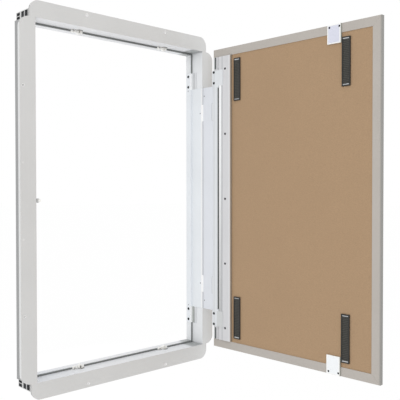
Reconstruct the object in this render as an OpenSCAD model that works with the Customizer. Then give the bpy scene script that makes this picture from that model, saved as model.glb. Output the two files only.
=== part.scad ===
// Wall access panel: an extruded aluminium frame around a clear opening, and a tile backing leaf
// on a concealed hinge with two pivot lines. All sizes in millimetres.
// X runs to the right, Z up and Y into the wall. Y = 0 is the back of the flange, which seats on the wall.
// The origin is the centre of the opening. The leaf stands open on the right.

/* [Opening] */
// Clear width between the inner faces of the frame
opening_w = 500; // [400:10:700]
// Clear height between the inner faces of the frame
opening_h = 800; // [740:10:1200]

/* [Frame bars] */
// Width of the flange that laps the wall
flange_w = 39; // [36:1:60]
// Thickness of the flange
flange_t = 6; // [5:0.5:10]
// Whole depth of the bar, flange included
frame_depth = 60; // [58:1:90]
// Width of the hollow body behind the flange
body_w = 18; // [16:1:24]
// Depth from the flange's front to the ledge
recess_depth = 42; // [42:1:50]
// How far the ledge stands into the opening
ledge_w = 5; // [5:0.5:8]
// Radius of the flange's outer corners
corner_r = 25; // [21:1:27]
// Wall of the extrusion
bar_wall = 1.6; // [1.2:0.1:2]
// Fillet inside the chambers
chamber_r = 0.8; // [0.3:0.1:1.2]
// Depth of the web in front of the first chamber
front_web = 8; // [7:0.5:10]
// Start of the middle chamber
middle_start = 24; // [22:0.5:26]
// Thickness of the web between the two body chambers
middle_web = 2.5; // [1.5:0.5:4]
// Thickness of the heavy web behind the middle chamber
heavy_web = 6.5; // [5:0.5:8]

/* [Flange screws] */
// Spacing of the screw holes in the top and bottom bars
top_hole_pitch = 236; // [160:2:300]
// Spacing of the screw holes in the side bars
side_hole_pitch = 500; // [400:10:600]
// Distance of the holes from the flange's outer edge
hole_edge = 9.5; // [8:0.5:12]
// Diameter of the holes
flange_hole_d = 5; // [4:0.1:6]
// Solid land in the flange around the holes
screw_land = 10; // [8:0.5:12]

/* [Corner joints] */
// Length of the key block in each end of a side bar
key_len = 40; // [25:1:60]
// Clearance of the key in its chamber
key_clear = 0.15; // [0.05:0.05:0.3]
// Diameter of the corner screw
corner_screw_d = 4; // [3:0.5:5]

/* [Frame seal] */
// Width of the seal
seal_w = 3.8; // [3:0.1:4.4]
// Height of the seal above the ledge
seal_h = 1.9; // [1.5:0.1:3]
// Gap between the seal and a catch or the hinge plate
seal_end_gap = 1; // [0.5:0.5:3]

/* [Catches] */
// Distance of the left catches' middle from the left side of the opening
catch_left_in = 128.6; // [100:0.2:140]
// Distance of the right catches' middle from the right side of the opening
catch_right_in = 110.5; // [100:0.5:140]
// Width of a catch
catch_w = 31; // [30:0.5:34]
// Thickness of the catch's base on the ledge
catch_base_t = 4; // [3:0.5:5]
// Gap between the closed leaf's keeper and the catch
catch_gap = 0.3; // [0.2:0.1:1]
// Radius of the disc that holds the magnet
disc_r = 6; // [5.5:0.1:6.2]
// Place of the disc beside the catch's middle
disc_shift = 4.5; // [3:0.5:6]
// Radius of the boss that holds the screw
boss_r = 4.8; // [4:0.1:4.8]
// Place of the boss on the other side of the middle
boss_shift = 10.7; // [10:0.1:11]
// How far the boss stays behind the disc
boss_low = 2; // [1:0.5:3]
// Gap between a disc or boss and the pocket that it stands in
pocket_gap = 1.4; // [1:0.1:1.6]

/* [Push latch] */
// Distance of the plunger's axis from the passage wall
plunger_reach = 21; // [18:0.5:24]
// Diameter of the plunger
plunger_d = 7; // [6:0.1:8]
// Gap between the plunger's tip and the closed leaf
plunger_gap = 0.4; // [0.3:0.1:1]
// Radial clearance of the plunger in its bore
plunger_clear = 0.08; // [0.05:0.01:0.15]
// Travel of the plunger
plunger_travel = 8; // [5:0.5:9]
// Length of the plunger
plunger_len = 18; // [16:0.5:19]
// Wall of the barrel around the plunger
barrel_wall = 1.2; // [1:0.1:2]
// Height of the latch's housing
latch_h = 22; // [16:1:30]
// Height of the latch's mounting foot
latch_foot_h = 44; // [40:1:60]
// Thickness of the latch's mounting foot
latch_foot_t = 2; // [1.5:0.5:3]

/* [Hinge] */
// Thickness of the hinge sheet
sheet_t = 1.5; // [1.2:0.1:1.6]
// Outer radius of the rolled knuckles
roll_r = 2.5; // [2.4:0.05:2.6]
// Radius of the hinge pins
pin_r = 1.2; // [1:0.05:1.3]
// Radial clearance of a pin in its knuckle
pin_clear = 0.05; // [0.02:0.01:0.08]
// Clearance between hinge plates that lie on each other
plate_gap = 0.3; // [0.3:0.05:0.4]
// Distance of the first pivot line in front of the flange
pivot_front = 2.8; // [2.8:0.1:3.2]
// Distance of the link's ends from the ends of the opening
link_end = 100; // [95:1:110]
// Height of the ears on the frame's plate
ear_h = 45; // [44:1:50]
// Height of the ears on the leaf's plate
leaf_ear_h = 41; // [40:1:44]
// Distance of the inner ear screws from the link's end
ear_screw_low = 8; // [6:0.5:9]
// Spacing of the two screws in an ear
ear_screw_pitch = 28.5; // [26:0.5:28.5]
// Length of the knuckles at the ends of the link
end_knuckle = 45; // [40:1:55]
// Length of the knuckles next to them
short_knuckle = 46; // [36:1:60]
// Gap between neighbouring knuckles
knuckle_gap = 0.5; // [0.4:0.1:0.8]
// Front edge of the ears' tabs on the inner face, from the flange's front
tab_front = 23; // [22:0.5:26]
// Angle at which the leaf stands open
leaf_open = 92; // [85:1:93]
// Rear edge of the frame's hinge plate, from the flange's front
plate_rear = 58; // [56:0.5:58]

/* [Leaf] */
// Thickness of the leaf
leaf_t = 11; // [10:0.5:15]
// Depth from the flange's front to the closed leaf's back
leaf_back = 32; // [30:0.5:32]
// Gap above and below the closed leaf
leaf_gap_z = 3; // [2:0.5:4]
// Gap at the hinge edge of the closed leaf
leaf_gap_hinge = 3.8; // [3.8:0.1:4.5]
// Gap at the free edge of the closed leaf
leaf_gap_free = 3.5; // [3.5:0.1:4.5]
// Wall of the leaf's rails
rail_wall = 1.5; // [1:0.1:2]
// Width of the rails' back rim
rim_w = 21; // [18:1:24]
// Width of the rails' front return
return_w = 3; // [2:0.5:6]
// How far the leaf's screws bite into the board
board_bite = 5; // [4:0.5:6]

/* [Hinge profile] */
// Start of the profile from the leaf's edge
profile_start = 3.8; // [3.8:0.1:4.2]
// End of the profile from the leaf's edge
profile_end = 63.5; // [58:0.5:66]
// Height of the profile above the rim
profile_h = 3.8; // [3.8:0.1:4.5]
// Place of the profile's screws from the leaf's edge
profile_screw_s = 45; // [44:0.5:48]
// Distance of the profile's end screws from the ends of the opening
profile_screw_end = 58; // [50:1:70]
// Inner edge of the long slot in the leaf's hinge plate
slot_low = 18; // [16:0.5:18.5]
// Outer edge of the long slot
slot_high = 23.5; // [22:0.5:24]
// Width of the leaf's hinge plate
leaf_plate_w = 32; // [30:0.5:33]
// Width of its ears
leaf_ear_w = 37; // [35:0.5:38]
// Place of the ear screws from the leaf's edge
ear_screw_s = 6; // [5.8:0.1:8]
// Height of the short seals on the profile
leaf_seal_h = 1.7; // [1:0.1:3]

/* [Keepers] */
// Distance of the keepers' middle from the free side of the opening
keeper_in = 119.5; // [118:0.5:121]
// Width of a keeper plate
keeper_w = 37; // [34:0.5:38]
// Length of a keeper plate
keeper_len = 43.4; // [36:0.2:50]
// Thickness of a keeper plate
keeper_t = 2; // [1.8:0.1:2.6]
// Distance of the keeper's screws from the leaf's edge
keeper_screw_in = 6; // [5:0.5:8]
// Spacing of the keeper's screws
keeper_screw_pitch = 26; // [22:1:28]

/* [Black bars] */
// Width of a bar's housing
strip_w = 21.5; // [20:0.5:22.5]
// Length of a bar's housing
strip_len = 110; // [90:1:116]
// Height of a bar's housing above the board
strip_h = 3; // [3:0.5:8]
// Wall of the housing
strip_wall = 2.8; // [2:0.1:3]
// Depth of the housing's tray
strip_tray = 2; // [1.5:0.1:2.4]
// Middle of the bars nearer the hinge, from the leaf's hinge edge
strip_near = 83.5; // [80:0.5:100]
// Middle of the bars nearer the free edge, from that edge
strip_far = 86; // [80:0.5:86]
// Distance of the bars' middle from the ends of the opening
strip_end = 90; // [84:1:100]
// Spacing of the ribs on the core
rib_pitch = 4; // [3:0.5:6]

/* [Hidden] */

$fn = 32;
// A cut runs this far past the face that it opens
eps = 0.5;
// Colours
flange_grey = "#cfcfcc";
plate_grey = "#e3e4e8";
rim_greige = "#b8b2a8";
board_brown = "#aa9173";
seal_dark = "#5f6262";
screw_black = "#24262a";
strip_black = "#3a3934";
clip_grey = "#b4b6b8";
pale_plastic = "#eff0ea";
keeper_pale = "#e4e8f2";

// Fasteners
pan_r = 3;
pan_h = 1.8;
pan_shank = 1.5;
shank_play = 0.1;
small_r = 2.4;
small_h = 1.4;
rivet_r = 1.5;

// Frame, derived
half_w = opening_w / 2;
half_h = opening_h / 2;
// The bars above and below run to where the rounded corner ends, the side bars butt against them
bar_end = half_w + flange_w - corner_r;
hole_u = flange_w - hole_edge;
chamber_in = body_w - bar_wall;
front_end = middle_start - middle_web;
rear_start = recess_depth + bar_wall;
middle_end = recess_depth + bar_wall - heavy_web;
rear_end = frame_depth - bar_wall;
// The wall that splits the rear of the bar into two chambers
split_u = body_w / 2 - 1;
// Front and back of the hollow in the flange
cell_front = bar_wall;
cell_back = flange_t - bar_wall;
land_low = hole_u - screw_land / 2;
land_high = hole_u + screw_land / 2;

// Corner key, derived
key_u = bar_wall + key_clear;
key_w = chamber_in - bar_wall - 2 * key_clear;
key_v = middle_start + key_clear;
key_d = middle_end - middle_start - 2 * key_clear;
key_mid_x = half_w + key_u + key_w / 2;
key_mid_y = key_v + key_d / 2 - flange_t;
corner_hole_r = corner_screw_d / 2 + 0.1;
corner_head_r = corner_screw_d * 0.9;
corner_head_h = corner_screw_d * 0.55;
// The corner screw stops this far from the key's inner end
key_end = 4;

// Passage inside the ledge, and how far loose pieces stay from the bars' faces
passage_x = half_w - ledge_w;
passage_z = half_h - ledge_w;
seat_play = 0.1;

// Catch, derived. Depths are from the flange's front
catch_left_x = catch_left_in - half_w;
catch_right_x = half_w - catch_right_in;
disc_front = leaf_back + keeper_t + catch_gap;
disc_z = half_h - 3;
boss_front = disc_front + boss_low;
boss_z = half_h - 1.5;
pocket_front = disc_front - 1.5;
catch_screw_v = boss_front + small_h;
catch_screw_len = recess_depth - catch_screw_v + bar_wall + 1;
// Oval magnet in the disc and the depth of its hole
core_rx = 1.8;
core_rz = 3.1;
core_depth = (recess_depth - disc_front) / 2;
core_sunk = 0.5;

// Latch, derived
plunger_x = plunger_reach - passage_x;
plunger_tip = leaf_back + plunger_gap;
latch_nose = recess_depth - 2;
latch_front = recess_depth + 1;
latch_back = plunger_tip + plunger_len + plunger_travel + 1.5;
latch_screw_z = (latch_foot_h + latch_h) / 4;
latch_screw_v = (latch_front + rear_end) / 2;

// Heights along the hinge, from the middle of the opening
link_half = half_h - link_end;
ear_half = link_half + ear_h;
leaf_ear_half = link_half + leaf_ear_h;
knuckle_high = link_half - end_knuckle;
knuckle_low = knuckle_high - short_knuckle;
// Knuckles from one height to the next: the frame's plate and the leaf's end of the link have the long
// pattern, the leaf's plate and the frame's end of the link the short one
long_spans = [[-knuckle_low, knuckle_low], [knuckle_high, link_half], [-link_half, -knuckle_high]];
short_spans = [[knuckle_low, knuckle_high], [-knuckle_high, -knuckle_low]];
ear_screw_z = [link_half + ear_screw_low, link_half + ear_screw_low + ear_screw_pitch];
// Rivets stay this far from the flange's front and from the first pivot line
frame_rivet_v = 7;
link_rivet_in = 6;
ear_screw_in = 8;
// Grooves of the tabs, from the tabs' front edge
groove_places = [7, 10];
groove_w = 0.6;

// Hinge, derived. The first pivot line stands in front of the flange, the second behind the closed leaf
strip_in = half_w - sheet_t;
link_in = strip_in - plate_gap - sheet_t;
axis1_x = strip_in - plate_gap / 2;
axis1_y = -pivot_front - flange_t;
leaf_edge_x = half_w - leaf_gap_hinge;
leaf_back_y = leaf_back - flange_t;
axis2_s = 0.5;
axis2_h = profile_h + sheet_t - roll_r;
axis2_x = leaf_edge_x - axis2_s;
axis2_y = leaf_back_y + axis2_h;
bore_r = pin_r + pin_clear;
// A plate stays this far from the axis of a knuckle that isn't its own
knuckle_keep = roll_r + plate_gap;
plate_start_s = axis2_s + sqrt(pow(knuckle_keep, 2) - pow(axis2_h - profile_h, 2)) + 0.2;
plate_face_x = passage_x - sheet_t;
// The slot ends this far from the link's end. Bottom of the groove behind it, top of the seal in it
slot_end = 5;
slot_half = link_half - slot_end;
groove_h = 1.2;
slot_seal_top = profile_h + sheet_t - 0.4;
// Place of the short seals
short_seal_gap = 3.8;
short_seal_s = 7;
short_seal_w = 6;

// Leaf, derived
leaf_w = opening_w - leaf_gap_hinge - leaf_gap_free;
leaf_h = opening_h - 2 * leaf_gap_z;
board_play = 0.2;
rim_half = leaf_h / 2 - rim_w;
keeper_s = leaf_edge_x + half_w - keeper_in;
profile_screw_pitch = (half_h - profile_screw_end) / 2;
strip_z = half_h - strip_end;
strip_places = [strip_near, leaf_w - strip_far];
// Shanks of the screws that bite into the board
profile_screw_len = profile_h + rail_wall + board_bite;
leaf_ear_screw_len = sheet_t + profile_screw_len;
keeper_screw_len = keeper_t - small_h + rail_wall + board_bite;
// Play of the core in its tray, and the length of a clip along the tray
core_play = 0.2;
clip_len = 3;

// Rectangle from one corner to the other with rounded corners
module soft_rect(low, high, r) {
    translate([low.x + r, low.y]) square([high.x - low.x - 2 * r, high.y - low.y]);
    translate([low.x, low.y + r]) square([high.x - low.x, high.y - low.y - 2 * r]);
    for (x = [low.x + r, high.x - r], y = [low.y + r, high.y - r])
        translate([x, y]) circle(r);
}

// Box from one corner to the other
module block(low, high) {
    translate(low) cube(high - low);
}

// Screw along Z with a domed head above Z = 0, a cross recess and a plain shank below
module pan_screw(len, head_r = pan_r, head_h = pan_h, shank_r = pan_shank) {
    dome_r = head_r * 1.35;
    slot_w = head_r * 0.28;
    slot_l = head_r * 1.1;
    difference() {
        union() {
            intersection() {
                cylinder(r = head_r, h = head_h);
                translate([0, 0, head_h - dome_r]) sphere(dome_r);
            }
            translate([0, 0, -len]) cylinder(r = shank_r, h = len + head_h / 4);
        }
        for (a = [0, 90])
            rotate([0, 0, a])
                translate([-slot_l / 2, -slot_w / 2, head_h / 2])
                    cube([slot_l, slot_w, head_h]);
    }
}

// Hole for the shank of a screw that is placed the same way
module shank_hole(len, shank_r = pan_shank) {
    translate([0, 0, -len - eps]) cylinder(r = shank_r + shank_play, h = len + 2 * eps);
}

// The bar's section. x runs outward from the opening, y from the flange's front into the wall
module bar_section() {
    difference() {
        union() {
            square([flange_w - 1, flange_t]);
            translate([0, flange_t / 2]) square([flange_w, flange_t / 2]);
            translate([flange_w - flange_t / 2, flange_t / 2]) circle(flange_t / 2);
            square([body_w, frame_depth]);
            translate([-ledge_w, recess_depth]) square([body_w + ledge_w, frame_depth - recess_depth]);
        }
        // the flange is hollow on both sides of the land that takes the screws
        soft_rect([bar_wall, cell_front], [body_w - bar_wall / 2, cell_back], chamber_r);
        soft_rect([body_w + bar_wall / 2, cell_front], [land_low, cell_back], chamber_r);
        soft_rect([land_high, cell_front], [flange_w - bar_wall, cell_back], chamber_r);
        // two chambers in the body and two behind the ledge
        soft_rect([bar_wall, front_web], [chamber_in, front_end], chamber_r);
        soft_rect([bar_wall, middle_start], [chamber_in, middle_end], chamber_r);
        soft_rect([bar_wall - ledge_w, rear_start], [split_u, rear_end], chamber_r);
        soft_rect([split_u + bar_wall, rear_start], [chamber_in, rear_end], chamber_r);
    }
}

// What is cut from the flange at one rounded corner. The arc's middle is at the origin
module corner_cut() {
    rotate([90, 0, 0])
        linear_extrude(flange_t + 2 * eps, center = true)
            difference() {
                square(corner_r + eps);
                circle(corner_r, $fn = 96);
            }
}

// Side bar on the right, between the bars above and below
module side_bar() {
    difference() {
        translate([half_w, -flange_t, -half_h]) linear_extrude(opening_h) bar_section();
        for (side = [-1, 1]) {
            translate([half_w + hole_u, -flange_t / 2, side * side_hole_pitch / 2]) flange_hole();
            scale([1, 1, side])
                translate([bar_end, -flange_t / 2, half_h - corner_r]) corner_cut();
        }
    }
}

module flange_hole() {
    rotate([90, 0, 0]) cylinder(d = flange_hole_d, h = flange_t + 2 * eps, center = true);
}

// Bar above the opening. Its ledge stops at the side bars' ledges
module head_bar() {
    difference() {
        translate([0, -flange_t, half_h])
            rotate([0, -90, 0])
                linear_extrude(2 * bar_end, center = true) bar_section();
        for (side = [-1, 1]) scale([side, 1, 1]) {
            block([passage_x, recess_depth - flange_t - eps, half_h - ledge_w - eps],
                  [bar_end + eps, frame_depth - flange_t + eps, half_h]);
            translate([top_hole_pitch / 2, -flange_t / 2, half_h + hole_u]) flange_hole();
            translate([bar_end - corner_r, -flange_t / 2, half_h + flange_w - corner_r]) corner_cut();
            translate([key_mid_x, key_mid_y, half_h - eps])
                cylinder(r = corner_hole_r, h = body_w + 2 * eps);
        }
        for (x = [catch_left_x, catch_right_x]) translate([x, 0, 0]) {
            catch_screw_place() shank_hole(catch_screw_len);
            catch_round(disc_shift, disc_z, disc_r + pocket_gap, pocket_front, recess_depth);
            catch_round(-boss_shift, boss_z, boss_r + pocket_gap, pocket_front, recess_depth);
        }
    }
}

// Round bar along Y of a top catch whose middle is at X = 0, from one depth to the next
module catch_round(x, z, r, front, back) {
    translate([x, front - flange_t, z]) rotate([-90, 0, 0]) cylinder(r = r, h = back - front);
}

// Screw of such a catch, its head sunk in the boss
module catch_screw_place() {
    translate([-boss_shift, catch_screw_v - flange_t, boss_z]) rotate([90, 0, 0]) children();
}

module frame_bar_top() {
    color(flange_grey) head_bar();
}

module frame_bar_bottom() {
    color(flange_grey) mirror([0, 0, 1]) head_bar();
}

module frame_bar_left() {
    color(flange_grey)
        difference() {
            mirror([1, 0, 0]) side_bar();
            latch_screw_places() shank_hole(bar_wall + latch_foot_t);
        }
}

module frame_bar_right() {
    color(flange_grey)
        difference() {
            side_bar();
            frame_ear_places() shank_hole(bar_wall + sheet_t);
            frame_rivet_places() shank_hole(bar_wall + sheet_t, rivet_r);
        }
}

module corner_keys() {
    color(clip_grey)
        for (mx = [0, 1], mz = [0, 1]) mirror([mx, 0, 0]) mirror([0, 0, mz])
            difference() {
                block([half_w + key_u, key_v - flange_t, half_h - key_len],
                      [half_w + key_u + key_w, key_v + key_d - flange_t, half_h - key_clear]);
                translate([key_mid_x, key_mid_y, half_h - key_len - eps])
                    cylinder(r = corner_hole_r, h = key_len + 2 * eps);
            }
}

module corner_screws() {
    color(screw_black)
        for (mx = [0, 1], mz = [0, 1]) mirror([mx, 0, 0]) mirror([0, 0, mz])
            translate([key_mid_x, key_mid_y, half_h + body_w])
                pan_screw(body_w + key_len - key_end, corner_head_r, corner_head_h, corner_screw_d / 2);
}

// The seal's section: a low strip in the corner of the ledge, its front round along both edges
module seal_section() {
    r = 0.9;
    low = -seat_play - seal_w;
    top = recess_depth - seal_h;
    translate([low, top + r]) square([seal_w, seal_h - r]);
    translate([low + r, top + r / 3]) square([seal_w - 2 * r, r]);
    for (x = [low + r, -seat_play - r]) translate([x, top + r]) circle(r);
}

// A run of seal along Z beside the right edge, from one height to the next
module side_seal(low, high) {
    translate([half_w, -flange_t, low]) linear_extrude(high - low) seal_section();
}

// A run of seal along X under the upper bar
module head_seal(low, high) {
    translate([high, -flange_t, half_h])
        rotate([0, -90, 0]) linear_extrude(high - low) seal_section();
}

module head_seals() {
    clear_of_catch = catch_w / 2 + seal_end_gap;
    seal_end = half_w - seal_w - 2 * seat_play;
    head_seal(-seal_end, catch_left_x - clear_of_catch);
    head_seal(catch_left_x + clear_of_catch, catch_right_x - clear_of_catch);
    head_seal(catch_right_x + clear_of_catch, seal_end);
}

module frame_seal_top() {
    color(seal_dark) head_seals();
}

module frame_seal_bottom() {
    color(seal_dark) mirror([0, 0, 1]) head_seals();
}

module frame_seal_left() {
    color(seal_dark) mirror([1, 0, 0]) side_seal(seat_play - half_h, half_h - seat_play);
}

module frame_seal_right() {
    color(seal_dark)
        up_and_down() side_seal(ear_half + seal_end_gap, half_h - seat_play);
}

// Catch at the top, its middle at X = 0: a base on the ledge, a boss with the screw, a disc with the magnet
module catch_body() {
    half = catch_w / 2;
    difference() {
        union() {
            block([-half, recess_depth - catch_base_t - flange_t, passage_z + seat_play],
                  [half, recess_depth - flange_t, half_h - seat_play]);
            catch_round(disc_shift, disc_z, disc_r, disc_front, recess_depth);
            catch_round(-boss_shift, boss_z, boss_r, boss_front, recess_depth);
        }
        catch_core(seat_play, disc_front - eps);
        catch_screw_place() {
            shank_hole(catch_screw_len);
            cylinder(r = small_r + shank_play, h = small_h + eps);
        }
    }
}

// Oval along Z in the disc, larger by the play and from the given depth to the hole's bottom
module catch_core(play, front) {
    translate([disc_shift, disc_front + core_depth - flange_t, disc_z])
        rotate([90, 0, 0])
            linear_extrude(disc_front + core_depth - front)
                scale([(core_rx + play) / (core_rz + play), 1]) circle(core_rz + play);
}

module catch_top(x) {
    color(pale_plastic) translate([x, 0, 0]) catch_body();
}

module catch_top_left() {
    catch_top(catch_left_x);
}

module catch_top_right() {
    catch_top(catch_right_x);
}

module catch_bottom_left() {
    mirror([0, 0, 1]) catch_top(catch_left_x);
}

module catch_bottom_right() {
    mirror([0, 0, 1]) catch_top(catch_right_x);
}

module all_catches() {
    up_and_down()
        for (x = [catch_left_x, catch_right_x]) translate([x, 0, 0]) children();
}

// Dark oval magnets in the discs
module catch_magnets() {
    color(screw_black) all_catches() catch_core(0, disc_front + core_sunk);
}

module catch_screws() {
    color(clip_grey)
        all_catches() catch_screw_place() pan_screw(catch_screw_len, small_r, small_h);
}

// Housing of the push latch on the left passage wall: a foot with two ears, a block and a barrel
module latch_housing() {
    half = latch_h / 2;
    bore = plunger_d / 2 + plunger_clear;
    barrel = bore + barrel_wall;
    color(pale_plastic)
        difference() {
            union() {
                block([-passage_x, latch_front - flange_t, -latch_foot_h / 2],
                      [-passage_x + latch_foot_t, rear_end - flange_t, latch_foot_h / 2]);
                block([-passage_x, latch_front - flange_t, -half],
                      [plunger_x - barrel, latch_back - flange_t, half]);
                block([-passage_x, latch_front - flange_t, -barrel * 0.8],
                      [plunger_x, latch_back - flange_t, barrel * 0.8]);
                translate([plunger_x, latch_nose - flange_t, 0]) rotate([-90, 0, 0])
                    cylinder(r = barrel, h = latch_back - latch_nose);
            }
            translate([plunger_x, latch_nose - eps - flange_t, 0]) rotate([-90, 0, 0])
                cylinder(r = bore, h = latch_back - latch_nose - 1 + eps);
            latch_screw_places() shank_hole(latch_foot_t);
        }
}

// The plunger with its rounded tip
module latch_plunger() {
    tip_r = 1.2;
    color(pale_plastic)
        translate([plunger_x, plunger_tip - flange_t, 0]) rotate([-90, 0, 0])
            rotate_extrude() {
                square([plunger_d / 2 - tip_r, plunger_len]);
                translate([0, tip_r]) square([plunger_d / 2, plunger_len - tip_r]);
                translate([plunger_d / 2 - tip_r, tip_r]) circle(tip_r);
            }
}

module latch_screw_places() {
    for (z = [-latch_screw_z, latch_screw_z])
        translate([latch_foot_t - passage_x, latch_screw_v - flange_t, z])
            rotate([0, 90, 0]) children();
}

module latch_screws() {
    color(screw_black)
        latch_screw_places() pan_screw(latch_foot_t + bar_wall + 2, small_r, small_h);
}

// Rolled knuckles along Z, one for each span
module knuckles(spans) {
    for (k = spans)
        translate([0, 0, k[0] + knuckle_gap / 2])
            cylinder(r = roll_r, h = k[1] - k[0] - knuckle_gap);
}

// Both halves of a pattern that is alike above and below the middle
module up_and_down() {
    children();
    mirror([0, 0, 1]) children();
}

module pin_bore(half) {
    translate([0, 0, -half - eps]) cylinder(r = bore_r, h = 2 * half + 2 * eps);
}

// Plate on the frame: strip on the inner face, step over the ledge, strip on the passage wall, and ears
// whose tabs on the inner face have two grooves
module frame_hinge_plate() {
    front_y = -flange_t;
    step_y = recess_depth - flange_t - sheet_t;
    tab_y = tab_front - flange_t;
    color(plate_grey)
        difference() {
            union() {
                block([strip_in, front_y, -link_half], [half_w, step_y + sheet_t, link_half]);
                block([strip_in, tab_y, -ear_half], [half_w, step_y + sheet_t, ear_half]);
                block([plate_face_x, step_y, -ear_half], [half_w, step_y + sheet_t, ear_half]);
                block([plate_face_x, step_y, -ear_half],
                      [passage_x, plate_rear - flange_t, ear_half]);
                translate([axis1_x, axis1_y, 0]) knuckles(long_spans);
                for (k = long_spans)
                    block([strip_in, axis1_y, k[0] + knuckle_gap / 2],
                          [half_w, front_y + eps, k[1] - knuckle_gap / 2]);
            }
            translate([axis1_x, axis1_y, 0]) pin_bore(link_half);
            frame_ear_places() shank_hole(sheet_t);
            frame_rivet_places() shank_hole(sheet_t, rivet_r);
            up_and_down()
                for (y = groove_places)
                    block([strip_in - eps, tab_y + y - groove_w / 2, link_half + 1],
                          [strip_in + groove_w, tab_y + y + groove_w / 2, ear_half + eps]);
        }
}

// Ear screws, head towards the opening
module frame_ear_places() {
    for (z = ear_screw_z, m = [0, 1])
        mirror([0, 0, m])
            translate([plate_face_x, recess_depth + ear_screw_in - flange_t, z])
                rotate([0, -90, 0]) children();
}

module frame_hinge_screws() {
    color(screw_black) frame_ear_places() pan_screw(sheet_t + bar_wall + 2);
}

// Flush rivets through the strip on the inner face, between the plate's knuckles
module frame_rivet_places() {
    for (k = short_spans)
        translate([strip_in, frame_rivet_v - flange_t, (k[0] + k[1]) / 2])
            rotate([0, -90, 0]) children();
}

module frame_hinge_rivets() {
    color(clip_grey)
        frame_rivet_places()
            translate([0, 0, -sheet_t - bar_wall]) cylinder(r = rivet_r, h = sheet_t + bar_wall);
}

module frame_hinge_pin() {
    color(clip_grey)
        translate([axis1_x, axis1_y, -link_half]) cylinder(r = pin_r, h = 2 * link_half);
}

// Swings what is drawn closed to where the link stands with the leaf open
module link_open() {
    translate([axis1_x, axis1_y, 0]) rotate([0, 0, 180]) translate([-axis1_x, -axis1_y, 0]) children();
}

// Swings what is drawn closed to the open leaf's place: the second pivot line goes with the link,
// and the leaf turns about it
module leaf_opened() {
    translate([2 * axis1_x - axis2_x, 2 * axis1_y - axis2_y, 0])
        rotate([0, 0, leaf_open])
            translate([-axis2_x, -axis2_y, 0]) children();
}

// The link between the two pivot lines, notched at the knuckles of the other plates
module hinge_link() {
    color(plate_grey)
        link_open()
            difference() {
                union() {
                    block([link_in, axis1_y, -link_half + knuckle_gap / 2],
                          [link_in + sheet_t, axis2_y, link_half - knuckle_gap / 2]);
                    translate([axis1_x, axis1_y, 0]) knuckles(short_spans);
                    translate([axis2_x, axis2_y, 0]) knuckles(long_spans);
                }
                for (k = long_spans)
                    block([link_in - eps, axis1_y - eps, k[0] - knuckle_gap / 2],
                          [link_in + sheet_t + eps, axis1_y + knuckle_keep, k[1] + knuckle_gap / 2]);
                for (k = short_spans)
                    block([link_in - eps, axis2_y - knuckle_keep, k[0] - knuckle_gap / 2],
                          [link_in + sheet_t + eps, axis2_y + eps, k[1] + knuckle_gap / 2]);
                translate([axis1_x, axis1_y, 0]) pin_bore(link_half);
                translate([axis2_x, axis2_y, 0]) pin_bore(link_half);
                link_rivet_places() shank_hole(sheet_t, rivet_r);
            }
}

// Flush rivets in the link beside the frame's end knuckles. Drawn closed
module link_rivet_places() {
    mid = (knuckle_high + link_half) / 2;
    for (z = [-mid, mid])
        translate([link_in, axis1_y + link_rivet_in, z]) rotate([0, -90, 0]) children();
}

module link_rivets() {
    color(clip_grey)
        link_open() link_rivet_places()
            translate([0, 0, -sheet_t]) cylinder(r = rivet_r, h = sheet_t);
}

// Leaf pieces are drawn closed. s runs from the hinge edge across the leaf, h out of its back

// A section in s and h, drawn along Z from one height to the next
module leaf_run(low, high) {
    translate([leaf_edge_x, leaf_back_y, low])
        mirror([1, 0, 0]) linear_extrude(high - low) children();
}

// Something that stands on the leaf's back: its x along s, its y up and its z out of the back
module on_leaf(s, h, z) {
    translate([leaf_edge_x - s, leaf_back_y + h, z]) rotate([90, 0, 180]) children();
}

module leaf_hinge_pin() {
    color(clip_grey)
        leaf_opened()
            translate([axis2_x, axis2_y, -leaf_ear_half]) cylinder(r = pin_r, h = 2 * leaf_ear_half);
}

// Plate on the leaf's hinge profile, with its long slot and its ears
module leaf_hinge_plate() {
    h0 = profile_h;
    own_spans = concat(short_spans, [[link_half, leaf_ear_half], [-leaf_ear_half, -link_half]]);
    color(plate_grey)
        leaf_opened()
            difference() {
                union() {
                    leaf_run(-link_half, link_half)
                        translate([plate_start_s, h0]) square([leaf_plate_w - plate_start_s, sheet_t]);
                    up_and_down()
                        leaf_run(link_half - eps, leaf_ear_half)
                            translate([plate_start_s, h0])
                                square([leaf_ear_w - plate_start_s, sheet_t]);
                    translate([axis2_x, axis2_y, 0]) knuckles(own_spans);
                    for (k = own_spans)
                        leaf_run(k[0] + knuckle_gap / 2, k[1] - knuckle_gap / 2)
                            translate([axis2_s, h0]) square([plate_start_s - axis2_s + eps, sheet_t]);
                }
                leaf_run(-slot_half, slot_half)
                    translate([slot_low, h0 - eps]) square([slot_high - slot_low, sheet_t + 2 * eps]);
                translate([axis2_x, axis2_y, 0]) pin_bore(leaf_ear_half);
                leaf_ear_places() shank_hole(sheet_t);
            }
}

module leaf_ear_places() {
    for (z = ear_screw_z, m = [0, 1])
        mirror([0, 0, m]) on_leaf(ear_screw_s, profile_h + sheet_t, z) children();
}

module leaf_hinge_screws() {
    color(screw_black) leaf_opened() leaf_ear_places() pan_screw(leaf_ear_screw_len);
}

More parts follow.
